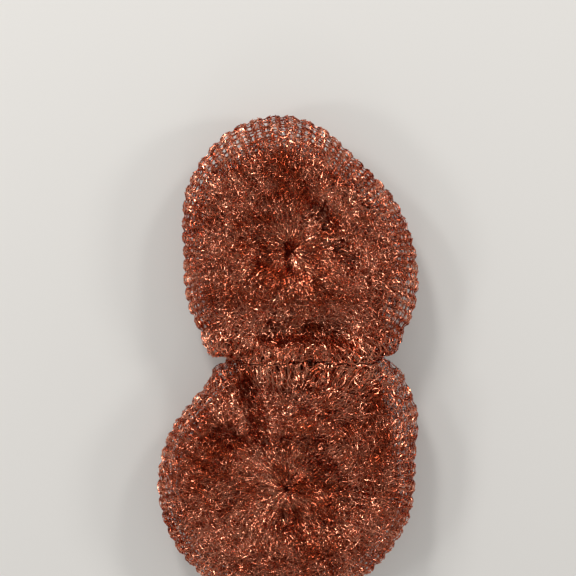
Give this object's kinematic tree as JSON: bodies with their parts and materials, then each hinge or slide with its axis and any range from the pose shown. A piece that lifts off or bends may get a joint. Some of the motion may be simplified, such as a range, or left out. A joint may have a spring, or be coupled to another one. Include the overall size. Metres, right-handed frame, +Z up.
{
  "type": "pair of knitted copper pot scrubbers",
  "caption": "Pair of round knitted copper-wire pot scrubbers, rolled into thick pads with gathered middles, lying side by side for scouring pans.",
  "frame": {"origin": "on the surface that the pair lies on, under the middle of the box round both pads", "axes": "+Z up through the thickness of the pads, +Y from the front pad to the rear pad, +X to the right"},
  "size_m": [0.1216, 0.2262, 0.032],
  "materials": {
    "copper_knit": "bright flat copper-coated wire, knitted",
    "copper_knit_under": "copper-coated wire in the shade of the outer turn",
    "copper_gather": "copper-coated wire drawn together",
    "tie_wire": "plain drawn wire"
  },
  "bodies": {
    "front_scrubber": {"front_outer_turn": "copper_knit", "front_second_turn": "copper_knit_under", "front_third_turn": "copper_knit_under", "front_inner_roll": "copper_knit_under", "front_upper_gather": "copper_gather", "front_lower_gather": "copper_gather", "front_tie": "tie_wire"},
    "rear_scrubber": {"rear_outer_turn": "copper_knit", "rear_second_turn": "copper_knit_under", "rear_third_turn": "copper_knit_under", "rear_inner_roll": "copper_knit_under", "rear_upper_gather": "copper_gather", "rear_lower_gather": "copper_gather", "rear_tie": "tie_wire"}
  },
  "joints": [
    {"name": "rear_lift", "type": "slide", "parent": "front_scrubber", "child": "rear_scrubber", "axis": [0, 0, 1], "range_m": [0, 0.06]}
  ]
}
